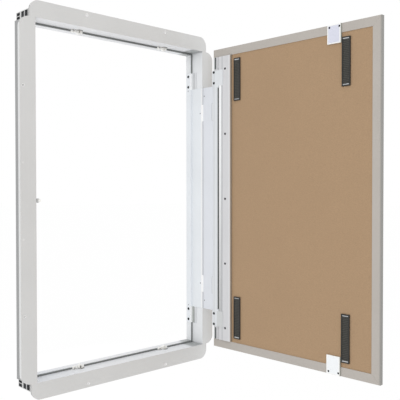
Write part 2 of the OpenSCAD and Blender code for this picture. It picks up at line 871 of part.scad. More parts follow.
// Hollow profile beside the hinge. It laps the rim and stands on the board
module leaf_hinge_profile() {
    lap = rim_w + 0.2;
    land = 4;
    color(plate_grey)
        leaf_opened()
            difference() {
                leaf_run(-rim_half + 0.3, rim_half - 0.3)
                    difference() {
                        union() {
                            translate([profile_start, 0]) square([lap - profile_start + eps, profile_h]);
                            soft_rect([lap, -rail_wall], [profile_end, profile_h], 0.5);
                            translate([lap, -rail_wall]) square([3, profile_h + rail_wall]);
                        }
                        // groove under the plate's slot, and two chambers beside the screws
                        translate([slot_low, groove_h]) square([slot_high - slot_low, profile_h]);
                        translate([slot_high + 2, 0])
                            square([profile_screw_s - land - slot_high - 2, profile_h - bar_wall]);
                        translate([profile_screw_s + land, 0])
                            square([profile_end - bar_wall - profile_screw_s - land,
                                    profile_h - bar_wall]);
                    }
                profile_screw_places() shank_hole(profile_h + rail_wall);
                leaf_ear_places() shank_hole(profile_h + sheet_t);
            }
}

module profile_screw_places() {
    for (i = [-2:2]) on_leaf(profile_screw_s, profile_h, i * profile_screw_pitch) children();
}

module leaf_profile_screws() {
    color(screw_black)
        leaf_opened() profile_screw_places() pan_screw(profile_screw_len, small_r, small_h);
}

// A long seal in the profile's groove behind the slot, and short ones on the profile beyond the ears
module leaf_seals() {
    color(seal_dark)
        leaf_opened() {
            leaf_run(seal_end_gap - slot_half, slot_half - seal_end_gap)
                translate([slot_low + seat_play, groove_h])
                    square([slot_high - slot_low - 2 * seat_play, slot_seal_top - groove_h]);
            up_and_down()
                leaf_run(leaf_ear_half + short_seal_gap, rim_half - seal_end_gap)
                    soft_rect([short_seal_s, profile_h],
                              [short_seal_s + short_seal_w, profile_h + leaf_seal_h], 0.5);
        }
}

// Section of a rail: x inward from the leaf's edge, y out of its back
module rail_section() {
    translate([0, -leaf_t]) square([rail_wall, leaf_t - 1]);
    translate([1, -rail_wall]) square([rim_w - 1, rail_wall]);
    translate([0, -leaf_t]) square([return_w, rail_wall]);
    intersection() {
        translate([1, -1]) circle(1);
        translate([0, -1]) square(1);
    }
    translate([1, -rail_wall]) square([rail_wall, rail_wall - 0.2]);
}

// A rail of the given length along Z with mitred ends, its outer face at X = 0 and inward along -X
module mitred_rail(len) {
    half = len / 2;
    intersection() {
        mirror([1, 0, 0]) linear_extrude(len, center = true) rail_section();
        rotate([90, 0, 0]) linear_extrude(3 * leaf_t, center = true)
            polygon([[0, -half], [0, half], [-rim_w - 1, half - rim_w - 1], [-rim_w - 1, rim_w + 1 - half]]);
    }
}

module rail_holes() {
    leaf_ear_places() shank_hole(sheet_t + profile_h + rail_wall);
    keeper_screw_places() shank_hole(keeper_t + rail_wall);
}

module leaf_rail_hinge() {
    color(rim_greige)
        leaf_opened()
            difference() {
                translate([leaf_edge_x, leaf_back_y, 0]) mitred_rail(leaf_h);
                rail_holes();
            }
}

module leaf_rail_free() {
    color(rim_greige)
        leaf_opened()
            translate([leaf_edge_x - leaf_w, leaf_back_y, 0]) mirror([1, 0, 0]) mitred_rail(leaf_h);
}

module head_rail() {
    difference() {
        translate([leaf_edge_x - leaf_w / 2, leaf_back_y, leaf_h / 2])
            rotate([0, -90, 0]) mitred_rail(leaf_w);
        rail_holes();
    }
}

module leaf_rail_top() {
    color(rim_greige) leaf_opened() head_rail();
}

module leaf_rail_bottom() {
    color(rim_greige) leaf_opened() mirror([0, 0, 1]) head_rail();
}

// Board held between the rails' rim and return
module leaf_board() {
    edge = rail_wall + board_play;
    color(board_brown)
        leaf_opened()
            difference() {
                leaf_run(edge - leaf_h / 2, leaf_h / 2 - edge)
                    translate([edge, rail_wall - leaf_t])
                        square([leaf_w - 2 * edge, leaf_t - 2 * rail_wall]);
                profile_screw_places() shank_hole(profile_screw_len);
                leaf_ear_places() shank_hole(leaf_ear_screw_len);
                keeper_screw_places() shank_hole(keeper_screw_len);
            }
}

// Keeper plate at the top, its corners rounded
module keeper() {
    in = leaf_h / 2 - keeper_len;
    difference() {
        on_leaf(keeper_s, 0, in)
            linear_extrude(keeper_t)
                soft_rect([-keeper_w / 2, 0], [keeper_w / 2, keeper_len], 1);
        keeper_screw_places() shank_hole(keeper_t);
    }
}

module keeper_screw_places() {
    for (s = [-1, 1], m = [0, 1])
        mirror([0, 0, m])
            on_leaf(keeper_s + s * keeper_screw_pitch / 2, keeper_t, leaf_h / 2 - keeper_screw_in)
                translate([0, 0, -small_h]) children();
}

module keeper_sunk() {
    difference() {
        keeper();
        keeper_screw_places() cylinder(r = small_r + 0.1, h = small_h + eps);
    }
}

module keeper_top() {
    color(keeper_pale) leaf_opened() keeper_sunk();
}

module keeper_bottom() {
    color(keeper_pale) leaf_opened() mirror([0, 0, 1]) keeper_sunk();
}

module keeper_screws() {
    color(screw_black)
        leaf_opened() keeper_screw_places() pan_screw(keeper_screw_len, small_r, small_h);
}

// Black bars. Each is drawn about its own middle, standing on the board, x across, y along, z out
module strip_housing() {
    half = [strip_w / 2, strip_len / 2];
    difference() {
        linear_extrude(strip_h) soft_rect(-half, half, 0.6);
        translate([0, 0, strip_h - strip_tray])
            linear_extrude(strip_tray + eps)
                soft_rect([strip_wall - half.x, strip_wall - half.y],
                          [half.x - strip_wall, half.y - strip_wall], 0.5);
    }
}

module at_strip(s, up) {
    on_leaf(s, -rail_wall, up * strip_z) children();
}

module placed_strip(s, up) {
    color(strip_black) leaf_opened() at_strip(s, up) strip_housing();
}

module strip_housing_top_near() {
    placed_strip(strip_places[0], 1);
}

module strip_housing_top_far() {
    placed_strip(strip_places[1], 1);
}

module strip_housing_bottom_near() {
    placed_strip(strip_places[0], -1);
}

module strip_housing_bottom_far() {
    placed_strip(strip_places[1], -1);
}

// Core in the tray: a strip with ribs across it
module strip_core() {
    w = strip_w - 2 * strip_wall - 2 * core_play;
    len = strip_len - 2 * (strip_wall + clip_len + 2 * core_play);
    low = strip_h - strip_tray;
    rib_half = rib_pitch * 0.2;
    ribs = floor((len / 2 - rib_half) / rib_pitch);
    block([-w / 2, -len / 2, low], [w / 2, len / 2, low + strip_tray * 0.45]);
    for (i = [-ribs:ribs])
        block([-w / 2, i * rib_pitch - rib_half, low],
              [w / 2, i * rib_pitch + rib_half, strip_h - strip_tray * 0.2]);
}

// Slanted clip at the upper end of the tray
module strip_clip() {
    w = strip_w - 2 * strip_wall - 2 * core_play;
    low = strip_h - strip_tray;
    edge = clip_len / 4;
    y0 = strip_len / 2 - strip_wall - core_play;
    y1 = y0 - clip_len;
    rotate([90, 0, 90])
        linear_extrude(w, center = true)
            polygon([[y1, low], [y0, low], [y0, strip_h], [y0 - edge, strip_h], [y1, low + edge]]);
}

module all_strips() {
    for (s = strip_places, up = [-1, 1]) at_strip(s, up) children();
}

module strip_cores() {
    color(strip_black) leaf_opened() all_strips() strip_core();
}

module strip_clips() {
    color(clip_grey)
        leaf_opened() all_strips()
            for (m = [0, 1]) mirror([0, m, 0]) strip_clip();
}

frame_bar_top();
frame_bar_bottom();
frame_bar_left();
frame_bar_right();
corner_keys();
corner_screws();
frame_seal_top();
frame_seal_bottom();
frame_seal_left();
frame_seal_right();
catch_top_left();
catch_top_right();
catch_bottom_left();
catch_bottom_right();
catch_magnets();
catch_screws();
latch_housing();
latch_plunger();
latch_screws();
frame_hinge_plate();
frame_hinge_screws();
frame_hinge_rivets();
frame_hinge_pin();
hinge_link();
link_rivets();
leaf_hinge_pin();
leaf_hinge_plate();
leaf_hinge_screws();
leaf_hinge_profile();
leaf_profile_screws();
leaf_seals();
leaf_rail_top();
leaf_rail_bottom();
leaf_rail_free();
leaf_rail_hinge();
leaf_board();
keeper_top();
keeper_bottom();
keeper_screws();
strip_housing_top_near();
strip_housing_top_far();
strip_housing_bottom_near();
strip_housing_bottom_far();
strip_cores();
strip_clips();
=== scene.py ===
# %% [markdown]
# A wall access panel: a hollow aluminium frame, and a board leaf on a hinge with two pivot lines.
# The solids come from the frame that is loaded here, at their real size and in their real place.
# This lesson gives them their finishes, softens their edges, and adds the forms that are too small
# for a solid model. Blender counts in metres, so MM turns the millimetres of a drawing into them.

import math

import bmesh
import bpy
from mathutils import Matrix, Vector


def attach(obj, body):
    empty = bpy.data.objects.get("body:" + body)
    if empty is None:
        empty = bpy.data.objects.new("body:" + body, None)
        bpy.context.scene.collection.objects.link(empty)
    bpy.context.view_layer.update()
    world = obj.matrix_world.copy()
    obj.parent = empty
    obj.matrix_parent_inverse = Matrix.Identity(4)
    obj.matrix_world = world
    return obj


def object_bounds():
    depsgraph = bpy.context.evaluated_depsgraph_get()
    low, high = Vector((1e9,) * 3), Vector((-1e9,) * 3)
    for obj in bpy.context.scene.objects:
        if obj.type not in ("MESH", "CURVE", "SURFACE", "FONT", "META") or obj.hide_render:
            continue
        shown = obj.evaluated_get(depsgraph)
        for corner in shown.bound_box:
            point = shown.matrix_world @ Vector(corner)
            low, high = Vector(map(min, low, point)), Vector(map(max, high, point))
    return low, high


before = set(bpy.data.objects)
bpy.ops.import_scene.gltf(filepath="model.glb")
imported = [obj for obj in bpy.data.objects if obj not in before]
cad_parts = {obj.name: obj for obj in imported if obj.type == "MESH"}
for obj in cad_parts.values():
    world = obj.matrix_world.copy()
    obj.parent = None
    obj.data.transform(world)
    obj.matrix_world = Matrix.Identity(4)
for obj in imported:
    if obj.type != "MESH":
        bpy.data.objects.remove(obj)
cad_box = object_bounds()
MM = 0.001

# %% [markdown]
# The camera stands in front of the panel, to the left, and looks across the opening at the open leaf.
# Its place and lens were worked out from the panel's own corners, so the picture can be laid over
# the reference. The angles are turned into a matrix by hand, which shows what each one does.

# %% Camera
SENSOR = 36.0
PICTURE_PIXELS = 400
FOCAL_PIXELS = 627.0
camera_place = Vector((-927.8, -1249.2, 26.4)) * MM
camera_yaw = math.radians(43.229)
camera_pitch = math.radians(-1.022)
camera_roll = math.radians(-0.046)

look = Vector((
    math.sin(camera_yaw) * math.cos(camera_pitch),
    math.cos(camera_yaw) * math.cos(camera_pitch),
    math.sin(camera_pitch),
))
level_right = Vector((math.cos(camera_yaw), -math.sin(camera_yaw), 0))
level_up = level_right.cross(look)
right = level_right * math.cos(camera_roll) + level_up * math.sin(camera_roll)
up = level_up * math.cos(camera_roll) - level_right * math.sin(camera_roll)

camera_data = bpy.data.cameras.new("camera")
camera_data.sensor_width = SENSOR
camera_data.lens = FOCAL_PIXELS * SENSOR / PICTURE_PIXELS
camera = bpy.data.objects.new("camera", camera_data)
bpy.context.scene.collection.objects.link(camera)
turn = Matrix((right, up, -look)).transposed().to_4x4()
camera.matrix_world = Matrix.Translation(camera_place) @ turn
bpy.context.scene.camera = camera
print("lens:", round(camera_data.lens, 2), "mm")

# %% [markdown]
# Shader maths reads best as plain sums. A Wire wraps one socket, and the operators on it add Math
# nodes, also where the wire stands on the right, as in 1 - mask. A mask is a wire that is 1 on the
# zone that is meant and 0 off it, so masks are cut to size by multiplying them.

# %% Wires
class Wire:
    """One number of a shader, with operators that add Math nodes."""

    def __init__(self, bench, socket):
        self.bench = bench
        self.socket = socket

    def reckon(self, operation, first, second=None):
        sockets = {0: first}
        if second is not None:
            sockets[1] = second
        return self.bench.node("ShaderNodeMath", {"operation": operation}, sockets)

    def __add__(self, other):
        return self.reckon("ADD", self, other)

    def __radd__(self, other):
        return self.reckon("ADD", other, self)

    def __sub__(self, other):
        return self.reckon("SUBTRACT", self, other)

    def __rsub__(self, other):
        return self.reckon("SUBTRACT", other, self)

    def __mul__(self, other):
        return self.reckon("MULTIPLY", self, other)

    def __rmul__(self, other):
        return self.reckon("MULTIPLY", other, self)

    def above(self, level):
        """1 where the number is greater than the level, else 0."""
        return self.reckon("GREATER_THAN", self, level)

    def size(self):
        """The number without its sign."""
        return self.reckon("ABSOLUTE", self)

    def fraction(self):
        """The part after the point, which climbs from 0 to 1 in every whole step."""
        return self.reckon("FRACT", self)

    def between(self, low, high):
        """1 where the number lies between the two levels, else 0."""
        return self.above(low) * (1 - self.above(high))


print("a wire knows:", [name for name in vars(Wire) if not name.startswith("_")])

# %% [markdown]
# Every other node is made by one method. It takes the node's type, its settings, which come first
# because they can change the sockets, and then the values or wires that go into its sockets.

# %% Bench
class Bench:
    """A node tree, with the one method that adds its nodes."""

    def __init__(self, tree):
        self.tree = tree

    def join(self, socket, value):
        if isinstance(value, Wire):
            self.tree.links.new(value.socket, socket)
        else:
            socket.default_value = value

    def node(self, kind, settings, sockets, out=0):
        made = self.tree.nodes.new(kind)
        for key, value in settings.items():
            setattr(made, key, value)
        for key, value in sockets.items():
            self.join(made.inputs[key], value)
        return Wire(self, made.outputs[out])


print("a bench knows:", [name for name in vars(Bench) if not name.startswith("_")])

# %% [markdown]
# A Finish is one material. It starts as a plain colour, and each tint lays another colour over it
# where a mask says so, as a painter would work from the ground coat up. All patterns read Object
# coordinates, so they stay on a piece when its body swings. A Mix node has sockets for each kind of
# data under the same names, so those for colours are chosen by their number.

# %% Finishes
MIX_SHARE, MIX_FIRST, MIX_SECOND, MIX_COLOR_OUT = 0, 6, 7, 2


class Finish(Bench):
    """One procedural material on Object coordinates."""

    def __init__(self, name, color, roughness, metallic=0.0):
        self.material = bpy.data.materials.new(name)
        self.material.use_nodes = True
        super().__init__(self.material.node_tree)
        self.shader = self.tree.nodes["Principled BSDF"]
        self.color = (*color, 1)
        self.set("Base Color", self.color)
        self.set("Roughness", roughness)
        self.set("Metallic", metallic)
        self.place = self.node("ShaderNodeTexCoord", {}, {}, out="Object")

    def set(self, name, value):
        self.join(self.shader.inputs[name], value)

    def part(self, index):
        """One coordinate of the place, in metres: 0 for X, 1 for Y, 2 for Z."""
        return self.node("ShaderNodeSeparateXYZ", {}, {0: self.place}, out=index)

    def vector(self, operation, first, second=None, out=0):
        sockets = {0: first}
        if second is not None:
            sockets[1] = second
        return self.node("ShaderNodeVectorMath", {"operation": operation}, sockets, out)

    def along(self, direction, start):
        """How far the place lies from start in a direction, in metres."""
        reach = self.vector("DOT_PRODUCT", self.place, direction, out="Value")
        return reach - Vector(start).dot(Vector(direction))

    def noise(self, scale, detail=3.0, stretch=None):
        place = self.place
        if stretch is not None:
            place = self.node("ShaderNodeMapping", {}, {"Vector": place, "Scale": stretch})
        sockets = {"Vector": place, "Scale": scale, "Detail": detail}
        return self.node("ShaderNodeTexNoise", {}, sockets)

    def cells(self, scale):
        return self.node("ShaderNodeTexVoronoi", {}, {"Vector": self.place, "Scale": scale})

    def band(self, wire, low, high):
        """Goes evenly from 0 at low to 1 at high, also where low is the greater number."""
        sockets = {"Value": wire, "From Min": low, "From Max": high}
        return self.node("ShaderNodeMapRange", {"clamp": True}, sockets)

    def tint(self, share, color):
        """Colours the finish towards another colour where share is 1."""
        sockets = {MIX_SHARE: share, MIX_FIRST: self.color, MIX_SECOND: (*color, 1)}
        self.color = self.node("ShaderNodeMix", {"data_type": "RGBA"}, sockets, MIX_COLOR_OUT)
        self.set("Base Color", self.color)

    def rough(self, wire, low, high):
        self.set("Roughness", low + wire * (high - low))

    def relief(self, height, depth):
        sockets = {"Height": height, "Distance": depth, "Strength": 1.0}
        self.set("Normal", self.node("ShaderNodeBump", {}, sockets))


finishes = {}
print("a finish knows:", [name for name in vars(Finish) if not name.startswith("_")])

# %% [markdown]
# Colours are written as they are read off a screen, from 0 to 255. A shader works with the amount
# of light instead, which rises much faster than the screen's numbers, so they are turned first.
# A tone that is a little darker or brighter than another is that colour times a factor.

# %% Screen colours
def shade(red, green, blue):
    """A screen colour as the linear values that a shader takes."""
    def linear(value):
        share = value / 255
        return share / 12.92 if share <= 0.04045 else ((share + 0.055) / 1.055) ** 2.4

    return tuple(linear(value) for value in (red, green, blue))


def times(color, factor):
    return tuple(value * factor for value in color)


print("middle grey 128 gives", [round(value, 3) for value in shade(128, 128, 128)])

# %% [markdown]
# The frame's bars are extruded aluminium with a satin grey coat. Such a coat has a fine orange
# peel and the faintest drawing lines along the bar. A picture of it could be wrapped round each
# bar, but noises need no picture and no unwrapping. A stretched noise gives the lines, one way for
# the bars that stand and another for those that lie, and a fine noise gives the coat's grain. The
# corner keys and the shallow marks on the flanges are coated too.

# %% Coated aluminium
PEEL = 900.0
MOTTLE = 9.0
ALONG_Z = (1400.0, 1400.0, 3.0)
ALONG_X = (3.0, 1400.0, 1400.0)


def coated(name, color, roughness, lines=None, deep=0.03 * MM):
    """A coat with its grain and mottle, and with drawing lines where a stretch is given."""
    finish = finishes[name] = Finish(name, color, roughness)
    height = peel = finish.noise(PEEL, 2.0)
    mottle = finish.noise(MOTTLE, 4.0)
    finish.tint(finish.band(mottle, 0.35, 0.75) * 0.6, times(color, 0.93))
    if lines is not None:
        drawn = finish.noise(1.0, 3.0, lines)
        finish.tint(finish.band(drawn, 0.45, 0.8) * 0.35, times(color, 1.06))
        height = peel * 0.6 + drawn * 0.6
    finish.rough(mottle, roughness - 0.06, roughness + 0.08)
    finish.relief(height, deep)
    return finish


coated("key_block", shade(190, 191, 192), 0.35, ALONG_Z)
coated("mark", shade(219, 219, 218), 0.42)
print("finishes so far:", sorted(finishes))

# %% [markdown]
# A bar isn't one colour all round. The recess that the leaf closes into is painted paler than the
# flange, as painted light for the light that reaches it through the opening. The flange's outer rim
# gets a painted highlight, the side that goes into the wall is darker, and the chambers are painted
# nearly black as painted shade. The faces of a solid model aren't sorted, so a material for each
# zone would mean picking them one by one. Here each zone is a mask from two distances instead: how
# far out from the opening, and how deep behind the flange's front. HAIR lets a mask take in a face
# that lies right on its limit.

# %% Sizes of the frame
HAIR = 0.1 * MM
HALF_W = 250 * MM
HALF_H = 400 * MM
FLANGE_T = 6 * MM
FLANGE_RIM = 37.8 * MM
BODY_W = 18 * MM
BAR_END = 264 * MM
# A row of chambers is given by how far out it reaches, and then by how deep.
FRONT_CHAMBERS = ((1 * MM, 17 * MM), (7 * MM, 42.8 * MM))
REAR_CHAMBERS = ((-4 * MM, 17 * MM), (43 * MM, 59 * MM))
print("opening:", 2 * HALF_W, "by", 2 * HALF_H, "m")

# %% [markdown]
# Three finer touches follow. The ends of the lying bars beside the hinge, and the far end of the
# sill, stand in shade, and the recess is dark in a half round before each catch's disc. The soft
# light of this scene doesn't cast such small shadows, so they are painted, as on a stage set. The
# walls of the screw holes get painted light, so they show bright.

# %% Shade, mouths and holes
HINGE_SHADE = (209 * MM, 219 * MM)
FAR_SHADE = (-80 * MM, -220 * MM)
DISC_PLACES = (-116.9 * MM, 144.0 * MM)
MOUTH_DEEP = 34.3 * MM
MOUTH_R = 8.5 * MM
# X and Z of one hole in each kind of bar. The place is folded, so it stands for the others too.
HOLES = ((118 * MM, 429.5 * MM), (279.5 * MM, 250 * MM))
HOLE_REACH = 3.3 * MM


def shade_ends(finish, recess):
    across = finish.part(0)
    finish.tint(recess * finish.band(across, *HINGE_SHADE), shade(172, 175, 175))
    sill = recess * (1 - finish.part(2).above(0))
    finish.tint(sill * finish.band(across, *FAR_SHADE), shade(221, 224, 229))


def dark_mouths(finish, recess, deep):
    for disc_x in DISC_PLACES:
        side = finish.part(0) - disc_x
        ahead = deep - MOUTH_DEEP
        from_disc = side * side + ahead * ahead
        mouth = recess * (1 - from_disc.above(MOUTH_R ** 2)) * (1 - deep.above(MOUTH_DEEP))
        finish.tint(mouth * 0.8, shade(84, 84, 82))


# Painted light: the walls of the screw holes are coloured bright.
def bright_holes(finish, deep, color):
    folded = finish.vector("ABSOLUTE", finish.place)
    flat = finish.vector("MULTIPLY", folded, (1, 0, 1))
    for hole_x, hole_z in HOLES:
        reach = finish.vector("DISTANCE", flat, (hole_x, 0, hole_z), out="Value")
        bored = (1 - reach.above(HOLE_REACH)) * (1 - deep.above(FLANGE_T))
        finish.tint(bored, color)


print("discs at each lying bar:", len(DISC_PLACES), "kinds of hole:", len(HOLES))

# %% [markdown]
# Both kinds of bar share the zones, so one function makes both finishes. What differs is which
# coordinate leads out of the opening, the painted light of the recess and the holes, and how far
# the painted shade reaches out of the corners. Those are its arguments, written with their names in
# the two calls.

# %% Bars
def bar_finish(name, across, half, lines, recess_lit_tone, corner_shade_reach, hole_tone):
    """The finish of a kind of bar, laid on zone by zone from the ground coat up."""
    finish = coated(name, shade(209, 209, 208), 0.42, lines)
    out = finish.part(across).size() - half
    deep = finish.part(1) + FLANGE_T
    recess = deep.above(2 * HAIR) * (1 - out.above(2 * HAIR))
    # Painted light: the recess is coloured paler than the flange.
    finish.tint(recess, recess_lit_tone)
    # Painted highlight on the flange's outer rim.
    finish.tint(out.above(FLANGE_RIM) * (1 - deep.above(FLANGE_T)), shade(226, 227, 227))
    lying = across == 2
    run, corner = (0, HALF_W) if lying else (2, HALF_H)
    # Painted shade in the corners of the recess.
    nearness = finish.band(finish.part(run).size(), corner - corner_shade_reach, corner)
    finish.tint(recess * nearness * nearness * 0.6, shade(150, 151, 152))
    if lying:
        shade_ends(finish, recess)
    outer = out.above(BODY_W - HAIR) * deep.above(FLANGE_T + HAIR)
    finish.tint(outer, shade(156, 157, 158))
    # Painted shade: the chambers are coloured nearly black.
    front, rear = [out.between(*wide) * deep.between(*far)
                   for wide, far in (FRONT_CHAMBERS, REAR_CHAMBERS)]
    cut_end = finish.part(0).size().between(BAR_END - 2 * HAIR, 1)
    finish.tint((front + rear) * (1 - cut_end), shade(104, 106, 108))
    if lying:
        dark_mouths(finish, recess, deep)
    bright_holes(finish, deep, hole_tone)


bar_finish(
    "bar_standing", across=0, half=HALF_W, lines=ALONG_Z, recess_lit_tone=shade(233, 235, 237),
    corner_shade_reach=6 * MM, hole_tone=shade(236, 236, 235))
bar_finish(
    "bar_lying", across=2, half=HALF_H, lines=ALONG_X, recess_lit_tone=shade(232, 234, 237),
    corner_shade_reach=13 * MM, hole_tone=shade(252, 252, 252))
print("finishes so far:", sorted(finishes))

# %% [markdown]
# The hinge is folded and rolled sheet with a cool white coat, smoother than the bars. Its grooved
# tabs lie on the recess and end in a step over the ledge. The grooves, and the lower tabs towards
# the ledge, get painted shade, and the step a painted highlight. The rolled knuckles of the link get
# a painted highlight, those of the frame's plate painted shade, which keeps them greyer, and a
# painted highlight runs along the frame's plate beside its knuckles.

# %% Hinge sheet
SHEET_DEEP = 0.02 * MM
PLAIN_HALF = 300 * MM
TAB_DEEP = 39.6 * MM
STEP_DEEP = 43.0 * MM
GROOVES = (30.3 * MM, 33.3 * MM)
GROOVE_HALF = 0.7 * MM
LOWER_SHADE = (28 * MM, 36 * MM)
AXIS_X = 248.35 * MM
AXIS_Y = -8.8 * MM
ROLL_R = 2.6 * MM
ROLL_BACK = 2 * MM
SHINE_Y = (-6.9 * MM, -2.2 * MM)


def white_sheet(name, color):
    return coated(name, color, 0.36, None, SHEET_DEEP)


def roll_light_and_shade(finish, color):
    """Paints a colour round the frame's pivot line, on the rolled knuckles, as painted light and
    shade.
    """
    near = finish.part(1).between(AXIS_Y - ROLL_R, AXIS_Y + ROLL_BACK)
    finish.tint(near * finish.part(0).between(AXIS_X - ROLL_R, AXIS_X + ROLL_R), color)


plate = white_sheet("hinge_sheet", shade(234, 238, 242))
height = plate.part(2)
depth = plate.part(1) + FLANGE_T
tabs = height.size().above(PLAIN_HALF + 2 * HAIR)
on_wall = tabs * (1 - depth.above(TAB_DEEP))
plate.tint(on_wall, shade(218, 220, 222))
# Painted shade in the grooves of the tabs.
for groove in GROOVES:
    line = depth.between(groove - GROOVE_HALF, groove + GROOVE_HALF)
    plate.tint(on_wall * line, shade(190, 192, 195))
# Painted highlight on the step over the ledge.
plate.tint(tabs * depth.between(TAB_DEEP, STEP_DEEP), shade(250, 251, 252))
lower_tab = on_wall * (1 - height.above(0))
plate.tint(lower_tab * plate.band(depth, *LOWER_SHADE), shade(160, 164, 160))
roll_light_and_shade(plate, shade(214, 216, 219))
# Painted highlight on the frame's plate beside its knuckles.
shine = (1 - height.size().above(PLAIN_HALF)) * plate.part(1).between(*SHINE_Y)
plate.tint(shine, shade(254, 254, 254))

link = white_sheet("link_sheet", shade(226, 229, 235))
roll_light_and_shade(link, shade(254, 254, 254))
print("finishes so far:", sorted(finishes))

# %% [markdown]
# The leaf stands open, a little past a right angle, so X and Y don't follow it. A Mapping node
# could turn the whole pattern, but a dot product with the leaf's own directions is simpler to read:
# across it from the hinge edge, and away from its back. The hinge's plate on it has a fold, a slot
# and a lip. The fold, the slot's edge and the lower ear get painted shade, and the lip is painted
# darker low down and brighter towards the top, as painted light where more of the sky reaches it.

# %% Leaf's hinge plate
LEAF_CORNER = (253.78 * MM, -45.8 * MM, 0)
LEAF_ACROSS = (0.0349, -0.9994, 0)
LEAF_AWAY = (LEAF_ACROSS[1], -LEAF_ACROSS[0], 0)
LEAF_W = 492.7 * MM
FOLD = (5.2 * MM, 8.2 * MM)
EAR_START = 17 * MM
SLOT_EDGE = (23.3 * MM, 24.7 * MM)
LIP_RISE = (-300 * MM, 180 * MM)


def across_leaf(finish):
    """How far the place lies from the leaf's hinge edge, in metres."""
    return finish.along(LEAF_ACROSS, LEAF_CORNER)


leaf_plate = white_sheet("leaf_sheet", shade(227, 230, 233))
reach = across_leaf(leaf_plate)
height = leaf_plate.part(2)
# Painted shade on the fold.
leaf_plate.tint(reach.between(*FOLD), shade(212, 214, 217))
plain = 1 - height.size().above(PLAIN_HALF)
lip = reach.above(SLOT_EDGE[1]) * plain
# Painted light: the lip is darker low down and brighter towards the top.
leaf_plate.tint(lip, shade(190, 191, 192))
leaf_plate.tint(lip * leaf_plate.band(height, *LIP_RISE), shade(250, 251, 252))
# Painted shade on the lower ear.
lower_ear = reach.above(EAR_START) * (1 - height.above(-PLAIN_HALF))
leaf_plate.tint(lower_ear, shade(208, 210, 210))
# Painted shade on the slot's edge.
leaf_plate.tint(reach.between(*SLOT_EDGE) * plain, shade(110, 112, 113))
print("finishes so far:", sorted(finishes))

# %% [markdown]
# The wide profile beside the hinge is coated aluminium again, with shallow steps. Its stripes are
# painted: the shadow of the hinge plate's edge, a highlight near its outer edge and shade on its
# side. The rails round the board are folded sheet in a warm grey. They get painted shade on the
# rounding towards the leaf's free edge, and the edge itself is the darkest.

# %% Profile and rails
PLATE_EDGE_SHADOW = (32 * MM, 37 * MM)
PROFILE_EDGE_HIGHLIGHT = (57.5 * MM, 61.5 * MM)
PROFILE_SIDE_SHADE = 61.8 * MM
RAIL_ROUND_SHADE = (LEAF_W - 3.5 * MM, LEAF_W - 0.8 * MM)

profile = coated("hinge_profile", shade(216, 216, 218), 0.4, ALONG_Z)
reach = across_leaf(profile)
# Painted shadow of the hinge plate's edge, then a painted highlight near the outer edge and painted
# shade on the side.
profile.tint(reach.between(*PLATE_EDGE_SHADOW), shade(198, 199, 201))
profile.tint(reach.between(*PROFILE_EDGE_HIGHLIGHT), shade(226, 226, 227))
profile.tint(reach.above(PROFILE_SIDE_SHADE), shade(168, 158, 146))

rail = coated("rail", shade(186, 180, 173), 0.45)
reach = across_leaf(rail)
# Painted shade on the rounding towards the free edge.
rail.tint(rail.band(reach, *RAIL_ROUND_SHADE), shade(160, 157, 151))
rail.tint(reach.above(LEAF_W - HAIR), shade(139, 137, 133))
print("finishes so far:", sorted(finishes))

# %% [markdown]
# The two keepers are small plates that the magnets hold. The top one has a faint lilac cast, the
# bottom one is nearly white, and both have a painted highlight on the rim and painted shade on the
# side towards the free edge.
# They could have a finish each, but they differ only in tone, and the sign of Z tells them apart.

# %% Keepers
KEEPER_ACROSS = (358.2 * MM, 395.2 * MM)
KEEPER_HIGH = (353.6 * MM, 397 * MM)
KEEPER_RIM = 2.4 * MM
KEEPER_SIDE = 1.9 * MM

keeper = coated("keeper", shade(222, 224, 238), 0.38)
reach = across_leaf(keeper)
height = keeper.part(2)
keeper.tint(1 - height.above(0), shade(247, 250, 252))
# Painted highlight round the rim.
inner = reach.between(KEEPER_ACROSS[0] + KEEPER_RIM, KEEPER_ACROSS[1] - 2 * KEEPER_RIM)
inner = inner * height.size().between(KEEPER_HIGH[0] + KEEPER_RIM, KEEPER_HIGH[1] - KEEPER_RIM)
keeper.tint(1 - inner, shade(250, 250, 248))
# Painted shade on the side towards the free edge.
keeper.tint(reach.above(KEEPER_ACROSS[1] - KEEPER_SIDE), shade(150, 150, 142))
print("finishes so far:", sorted(finishes))

# %% [markdown]
# The board is fine particle board. Close up it is a felt of chips in several browns with short
# darker fibres, and it takes light softly. Cells give the chips, noises give fibre, dust and wide
# clouds, and a shallow relief keeps the surface from looking printed. On its back, a narrow shade
# lies beside the hinge profile, which stands proud of it.

# %% Board
SHADE_BESIDE = (62.5 * MM, 65 * MM)
BACK_FROM = -4 * MM
FIBRE = (900.0, 220.0, 900.0)


def particle_board(name, color):
    finish = finishes[name] = Finish(name, color, 0.85)
    chips = finish.cells(420.0)
    dust = finish.noise(1500.0, 3.0)
    clouds = finish.noise(7.0, 4.0)
    fibre = finish.noise(1.0, 2.0, FIBRE)
    finish.tint(finish.band(chips, 0.25, 0.7) * 0.35, times(color, 1.22))
    finish.tint(finish.band(fibre, 0.55, 0.75) * 0.4, times(color, 0.72))
    finish.tint(finish.band(dust, 0.55, 0.7) * 0.3, times(color, 0.82))
    finish.tint(finish.band(clouds, 0.35, 0.8) * 0.25, times(color, 0.9))
    on_back = finish.along(LEAF_AWAY, LEAF_CORNER).above(BACK_FROM)
    finish.tint(across_leaf(finish).between(*SHADE_BESIDE) * on_back * 0.8, times(color, 0.5))
    finish.rough(dust, 0.8, 0.95)
    finish.relief(chips * 0.5 + dust, 0.12 * MM)


particle_board("board", shade(172, 143, 112))
print("finishes so far:", sorted(finishes))

# %% [markdown]
# Rubber, moulded plastic and the blackened screw heads differ in colour and in how tight their
# grain is. One function makes them all, since each is a plain colour with fine grain and a soft
# cloud in its gloss.

